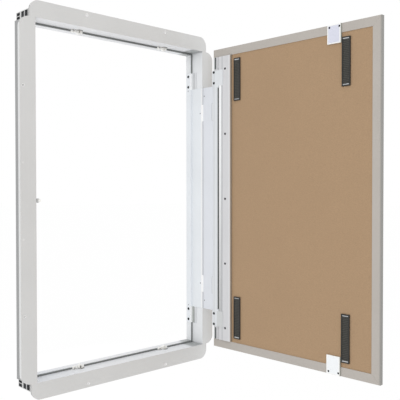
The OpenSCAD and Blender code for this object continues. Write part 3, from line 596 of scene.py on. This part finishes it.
# %% Rubber and plastic
def moulded(name, color, roughness, grain, deep):
    """A plain colour with a cloud in its gloss and a grain of a given scale and depth."""
    finish = finishes[name] = Finish(name, color, roughness)
    cloud = finish.noise(30.0, 3.0)
    finish.tint(finish.band(cloud, 0.4, 0.7) * 0.3, times(color, 0.85))
    finish.rough(cloud, roughness - 0.08, roughness + 0.08)
    finish.relief(finish.noise(grain, 2.0), deep)
    return finish


moulded("seal_rubber", shade(122, 125, 125), 0.75, 1800.0, 0.03 * MM)
moulded("pale_plastic", shade(252, 252, 249), 0.4, 2500.0, 0.01 * MM)
moulded("latch_plastic", shade(178, 178, 177), 0.4, 2500.0, 0.01 * MM)
moulded("strip_plastic", shade(38, 38, 36), 0.55, 2200.0, 0.02 * MM)
dark_screw = moulded("dark_screw", shade(20, 20, 22), 0.6, 900.0, 0.02 * MM)
dark_screw.set("Specular IOR Level", 0.25)
print("finishes so far:", sorted(finishes))

# %% [markdown]
# Some moulded parts get painted light and shade. The leaf's seals have flanks painted pale as
# painted light, and a lip in the slot whose dark rubber is painted black with painted shade. The
# magnets in the upper catches and on the hinge side are painted pale, as painted light for the light
# that falls on them. The cores of the black bars have ribs, whose crests are painted a little
# lighter as a painted highlight.

# %% Seals, magnets and ribs
LEFT_FLANK = (5 * MM, 9.4 * MM)
RIGHT_FLANK = (17 * MM, 20 * MM)
RIB_PITCH = 4 * MM
RIB_CREST = (0.3, 0.7)

leaf_seal = moulded("leaf_seal", shade(92, 96, 96), 0.75, 1800.0, 0.03 * MM)
reach = across_leaf(leaf_seal)
# Painted light on the seal's flanks.
leaf_seal.tint(reach.between(*LEFT_FLANK), shade(208, 210, 210))
leaf_seal.tint(reach.between(*RIGHT_FLANK), shade(198, 200, 200))
# Painted shade: the dark rubber of the lip in the slot is darkened to black.
leaf_seal.tint(reach.above(RIGHT_FLANK[1]), shade(24, 26, 26))

magnet = moulded("magnet", shade(30, 30, 31), 0.6, 1200.0, 0.04 * MM)
# Painted light: the upper magnets and those on the hinge side are coloured pale.
magnet.tint(magnet.part(2).above(0), shade(186, 184, 178))
magnet.tint(magnet.part(0).above(0), shade(226, 226, 221))

core = moulded("strip_core", shade(54, 53, 49), 0.7, 1500.0, 0.03 * MM)
# Painted highlight on the crests of the ribs.
lit_crest = (core.part(2) * (1 / RIB_PITCH)).fraction().between(*RIB_CREST)
core.tint(lit_crest, shade(73, 72, 67))
print("finishes so far:", sorted(finishes))

# %% [markdown]
# Bare metal parts are small: zinc plated screws, drawn pins, rivets and spring clips. Metal shows
# its finish in its roughness, so the noise goes there more than into the colour. The inner half of
# a clip lies in the tray's shade.

# %% Bare metal
STRIP_Z = 310 * MM
CLIP_MIDDLE = 50 * MM


def metal(name, color, roughness, stretch=(600.0, 600.0, 600.0)):
    finish = finishes[name] = Finish(name, color, roughness, metallic=1.0)
    scratch = finish.noise(1.0, 4.0, stretch)
    bloom = finish.noise(120.0, 3.0)
    finish.tint(finish.band(bloom, 0.45, 0.7) * 0.3, times(color, 0.8))
    finish.rough(scratch, roughness - 0.1, roughness + 0.15)
    finish.relief(scratch, 0.01 * MM)
    return finish


metal("zinc", shade(205, 206, 208), 0.35)
metal("drawn_pin", shade(176, 178, 181), 0.35, (900.0, 900.0, 20.0))
metal("rivet", shade(116, 118, 120), 0.45)
clip = metal("clip", shade(200, 202, 204), 0.3)
from_strip = (clip.part(2).size() - STRIP_Z).size()
clip.tint(1 - from_strip.above(CLIP_MIDDLE), shade(84, 84, 82))
print("finishes:", len(finishes))

# %% [markdown]
# Each solid takes one finish. The table goes from the finish to the nodes that have it, which is
# how a workshop would sort the parts for coating.

# %% Dress the nodes
WEARS = {
    "bar_standing": ["frame_bar_left", "frame_bar_right"],
    "bar_lying": ["frame_bar_top", "frame_bar_bottom"],
    "key_block": ["corner_keys"],
    "zinc": ["corner_screws", "catch_screws"],
    "seal_rubber": ["frame_seal_top", "frame_seal_bottom", "frame_seal_left", "frame_seal_right"],
    "leaf_seal": ["leaf_seals"],
    "pale_plastic": ["catch_top_left", "catch_top_right", "catch_bottom_left",
                     "catch_bottom_right", "latch_plunger"],
    "latch_plastic": ["latch_housing"],
    "magnet": ["catch_magnets"],
    "dark_screw": ["latch_screws", "frame_hinge_screws", "leaf_hinge_screws",
                   "leaf_profile_screws", "keeper_screws"],
    "hinge_sheet": ["frame_hinge_plate"],
    "link_sheet": ["hinge_link"],
    "leaf_sheet": ["leaf_hinge_plate"],
    "drawn_pin": ["frame_hinge_pin", "leaf_hinge_pin"],
    "rivet": ["frame_hinge_rivets", "link_rivets"],
    "hinge_profile": ["leaf_hinge_profile"],
    "rail": ["leaf_rail_top", "leaf_rail_bottom", "leaf_rail_free", "leaf_rail_hinge"],
    "board": ["leaf_board"],
    "keeper": ["keeper_top", "keeper_bottom"],
    "strip_plastic": ["strip_housing_top_near", "strip_housing_top_far",
                      "strip_housing_bottom_near", "strip_housing_bottom_far"],
    "strip_core": ["strip_cores"],
    "clip": ["strip_clips"],
}

dressed = set()
for finish_name, nodes in WEARS.items():
    for node in nodes:
        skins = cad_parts[node].data.materials
        skins.clear()
        skins.append(finishes[finish_name].material)
        dressed.add(node)
print("dressed nodes:", len(dressed), "left bare:", sorted(set(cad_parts) - dressed))

# %% [markdown]
# No real edge is as sharp as a solid model's. Three modifiers soften each node without touching its
# mesh: the first joins loose corners, the second clears the flat faces of their inner edges, and
# the third rounds every hard edge by a fraction of a millimetre, more on thick metal than on sheet.

# %% Soft edges
EDGE_RADIUS = {
    "bar_standing": 0.3, "bar_lying": 0.3, "key_block": 0.3, "hinge_sheet": 0.2, "link_sheet": 0.2,
    "leaf_sheet": 0.2, "hinge_profile": 0.25, "rail": 0.3, "keeper": 0.2, "pale_plastic": 0.3,
    "latch_plastic": 0.3, "strip_plastic": 0.25, "seal_rubber": 0.3, "leaf_seal": 0.3,
}
JOIN_WITHIN = 0.002 * MM
FLAT_WITHIN = math.radians(0.5)
HARD_FROM = math.radians(40)


def soften(target, radius):
    weld = target.modifiers.new("join corners", "WELD")
    weld.merge_threshold = JOIN_WITHIN
    flat = target.modifiers.new("clear faces", "DECIMATE")
    flat.decimate_type = "DISSOLVE"
    flat.angle_limit = FLAT_WITHIN
    soft = target.modifiers.new("soft edges", "BEVEL")
    soft.width = radius * MM
    soft.segments = 2
    soft.limit_method = "ANGLE"
    soft.angle_limit = HARD_FROM


softened = [(node, radius) for finish_name, radius in EDGE_RADIUS.items()
            for node in WEARS[finish_name]]
for node, radius in softened:
    soften(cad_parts[node], radius)
graph = bpy.context.evaluated_depsgraph_get()
before = sum(len(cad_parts[node].data.polygons) for node, _ in softened)
after = sum(len(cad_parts[node].evaluated_get(graph).data.polygons) for node, _ in softened)
print("softened nodes:", len(softened), "faces before:", before, "after:", after)

# %% [markdown]
# Some forms are too small for the solid model, and all of them are round. A cylinder could be
# squeezed into each, but a section of a few corners says more of the form. It is spun about an
# axis, as a lathe would turn it, and then carried to its place. A piece rides on a body, so it
# moves with it, and takes the slot of the material that it is made of.

# %% Turned pieces
MERGE_WITHIN = 0.001 * MM
SPIN_STEPS = 28


def turn_section(shape, section, place):
    """Turns a section of (radius, height) pairs about the Z axis and puts it in its place."""
    verts = [shape.verts.new((radius, 0, height)) for radius, height in section]
    edges = [shape.edges.new((verts[i - 1], verts[i])) for i in range(len(verts))]
    bmesh.ops.spin(
        shape, geom=verts + edges, cent=(0, 0, 0), axis=(0, 0, 1), angle=math.tau,
        steps=SPIN_STEPS, use_merge=True)
    fresh = [vert for vert in shape.verts if not vert.tag]
    bmesh.ops.remove_doubles(shape, verts=fresh, dist=MERGE_WITHIN)
    fresh = [vert for vert in shape.verts if not vert.tag]
    bmesh.ops.transform(shape, matrix=place, verts=fresh)
    for vert in fresh:
        vert.tag = True


def facing(point, normal):
    """A matrix that carries the Z axis to a normal at a point."""
    return Matrix.Translation(point) @ Vector(normal).to_track_quat("Z", "Y").to_matrix().to_4x4()


def turned_piece(name, turnings, finish_name, body):
    """One piece from (section, place) pairs, riding on a body."""
    shape = bmesh.new()
    for section, place in turnings:
        turn_section(shape, section, place)
    bmesh.ops.recalc_face_normals(shape, faces=shape.faces)
    mesh = bpy.data.meshes.new(name)
    shape.to_mesh(mesh)
    shape.free()
    made = bpy.data.objects.new(name, mesh)
    bpy.context.scene.collection.objects.link(made)
    mesh.materials.append(finishes[finish_name].material)
    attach(made, body)
    print(name, "faces:", len(mesh.polygons), "rides on", body)


print("a turned piece has", SPIN_STEPS, "sides")

# %% [markdown]
# Flat washers lie round the black screw heads, on the frame's ears, the leaf's ears and the
# profile. Each is turned from a four-cornered section, whose outer edge slants a little, as a
# stamped washer's does. All washers on one body are one piece, since they never part.

# %% Washers
EAR_SCREWS_Z = (308 * MM, 336.5 * MM, -308 * MM, -336.5 * MM)
PROFILE_PITCH = 171 * MM
PROFILE_SCREWS_Z = [step * PROFILE_PITCH for step in (-2, -1, 0, 1, 2)]
EAR_HEAD_R = 3.05 * MM
PROFILE_HEAD_R = 2.45 * MM
WASHER_SLANT = 0.1 * MM
# X and Y on the frame's ears. On the leaf, the reach from the hinge edge and the height.
FRAME_EAR = (243.5 * MM, 44 * MM)
LEAF_EAR = (6 * MM, 5.3 * MM)
PROFILE_LINE = (45 * MM, 3.8 * MM)
INWARD = (-1, 0, 0)


def washer(head_r, wide, thick):
    rim = head_r + wide
    return [(head_r, 0), (rim, 0), (rim - WASHER_SLANT, thick), (head_r, thick)]


def on_leaf(reach, high, z):
    """A place on the leaf's back that faces away from it."""
    point = Vector(LEAF_CORNER) + Vector(LEAF_ACROSS) * reach + Vector(LEAF_AWAY) * high
    return facing(point + Vector((0, 0, z)), LEAF_AWAY)


frame_washer = washer(EAR_HEAD_R, 0.6 * MM, 0.5 * MM)
turnings = [(frame_washer, facing((*FRAME_EAR, z), INWARD)) for z in EAR_SCREWS_Z]
turned_piece("frame_ear_washers", turnings, "dark_screw", "frame")

ear_washer = washer(EAR_HEAD_R, 0.4 * MM, 0.5 * MM)
profile_washer = washer(PROFILE_HEAD_R, 0.5 * MM, 0.4 * MM)
turnings = [(ear_washer, on_leaf(*LEAF_EAR, z)) for z in EAR_SCREWS_Z]
turnings += [(profile_washer, on_leaf(*PROFILE_LINE, z)) for z in PROFILE_SCREWS_Z]
turned_piece("leaf_washers", turnings, "dark_screw", "leaf")

# %% [markdown]
# A round pip is pressed in each ear of the frame's hinge plate, beside its screws. Two shallow
# marks on each side flange divide the space between its holes in three, as centre marks for more
# screws do. Both are sections that reach the axis, so the spin closes them at a pole.

# %% Pips and marks
PIP = [(0, 0), (1.9 * MM, 0), (1.5 * MM, 0.35 * MM), (0.8 * MM, 0.5 * MM), (0, 0.55 * MM)]
PIP_Z = 297 * MM
MARK = [(0, 0), (2.6 * MM, 0), (2.3 * MM, 0.25 * MM), (0, 0.3 * MM)]
MARK_X = 281 * MM
MARK_Z = 83.5 * MM
OUTWARD = (0, -1, 0)

turnings = [(PIP, facing((*FRAME_EAR, z), INWARD)) for z in (PIP_Z, -PIP_Z)]
turned_piece("plate_pips", turnings, "drawn_pin", "frame")

turnings = [(MARK, facing((x, -FLANGE_T, z), OUTWARD))
            for x in (MARK_X, -MARK_X) for z in (MARK_Z, -MARK_Z)]
turned_piece("flange_marks", turnings, "mark", "frame")

# %% [markdown]
# The panel is shown by itself on white. A white sky that only the camera, mirrors and glass see
# gives the background, while a weaker one lights the object, so white surfaces don't burn out.

# %% Sky
WHITE = (1, 1, 1, 1)
SKY_LEVEL = 0.92


def seen_rays(bench):
    """1 for camera, mirror and glass rays, which all show the white surroundings."""
    seen = bench.node("ShaderNodeLightPath", {}, {}, out="Is Camera Ray")
    for name in ("Is Glossy Ray", "Is Transmission Ray"):
        seen = seen.reckon("MAXIMUM", seen, bench.node("ShaderNodeLightPath", {}, {}, out=name))
    return seen


world = bpy.data.worlds.new("studio")
bpy.context.scene.world = world
world.use_nodes = True
sky = Bench(world.node_tree)
shown = sky.node("ShaderNodeBackground", {}, {"Color": WHITE, "Strength": 1.0})
lit = sky.node("ShaderNodeBackground", {}, {"Color": WHITE, "Strength": SKY_LEVEL})
sky_mix = sky.node("ShaderNodeMixShader", {}, {0: seen_rays(sky), 1: lit, 2: shown})
sky.join(sky.tree.nodes["World Output"].inputs["Surface"], sky_mix)
print("sky lights at", SKY_LEVEL, "and shows as 1")

# %% [markdown]
# The floor lies well below the frame, because the panel hangs in a wall and stands on nothing. Its
# finish is nearly white, and the same rays that see the white sky see a share of glow in it. The
# glow lets it run into the sky without a line, while the rest still takes the object's shadow.

# %% Floor
FLOOR_DROP = 0.45
FLOOR_HALF = 30
FLOOR_GLOW = 1.01
FLOOR_SHARE = 0.9

floor_z = cad_box[0].z - FLOOR_DROP
floor_shape = bmesh.new()
bmesh.ops.create_grid(floor_shape, x_segments=1, y_segments=1, size=FLOOR_HALF)
bmesh.ops.translate(floor_shape, verts=floor_shape.verts, vec=(0, 0, floor_z))
floor_mesh = bpy.data.meshes.new("floor")
floor_shape.to_mesh(floor_mesh)
floor_shape.free()
floor = bpy.data.objects.new("floor", floor_mesh)
bpy.context.scene.collection.objects.link(floor)

floor_finish = Finish("floor", (0.93, 0.93, 0.93), 0.9)
matt = Wire(floor_finish, floor_finish.shader.outputs["BSDF"])
glow = floor_finish.node("ShaderNodeEmission", {}, {"Strength": FLOOR_GLOW})
floor_share = seen_rays(floor_finish) * FLOOR_SHARE
floor_mix = floor_finish.node("ShaderNodeMixShader", {}, {0: floor_share, 1: matt, 2: glow})
floor_finish.join(floor_finish.tree.nodes["Material Output"].inputs["Surface"], floor_mix)
floor_mesh.materials.append(floor_finish.material)
print("floor at", round(floor_z, 3), "m")

# %% [markdown]
# Three wide soft lamps do the rest: one high at the left in front, near the camera, a weaker one at
# the right, so that the inner faces of the frame keep some shape, and one behind the wall's plane
# that keeps the passage walls bright.

# %% Lamps
def lamp(name, place, aim, size, watts):
    """A square lamp that shines from its place towards the aim, all in metres."""
    data = bpy.data.lights.new(name, "AREA")
    data.size = size
    data.energy = watts
    made = bpy.data.objects.new(name, data)
    bpy.context.scene.collection.objects.link(made)
    made.location = place
    made.rotation_euler = (Vector(aim) - Vector(place)).to_track_quat("-Z", "Y").to_euler()


middle = (cad_box[0] + cad_box[1]) / 2
lamp("key_lamp", (-1.8, -2.6, 1.0), middle, 2.2, 12)
lamp("side_lamp", (1.6, -2.2, 0.4), middle, 1.8, 4)
lamp("back_lamp", (0.2, 2.0, -0.4), middle, 2.0, 7)
print("lamps aim at", [round(value, 3) for value in middle])

# %% [markdown]
# Colour is shown as it is written: the Standard view leaves the numbers alone.

# %% Close
bpy.context.scene.view_settings.view_transform = "Standard"
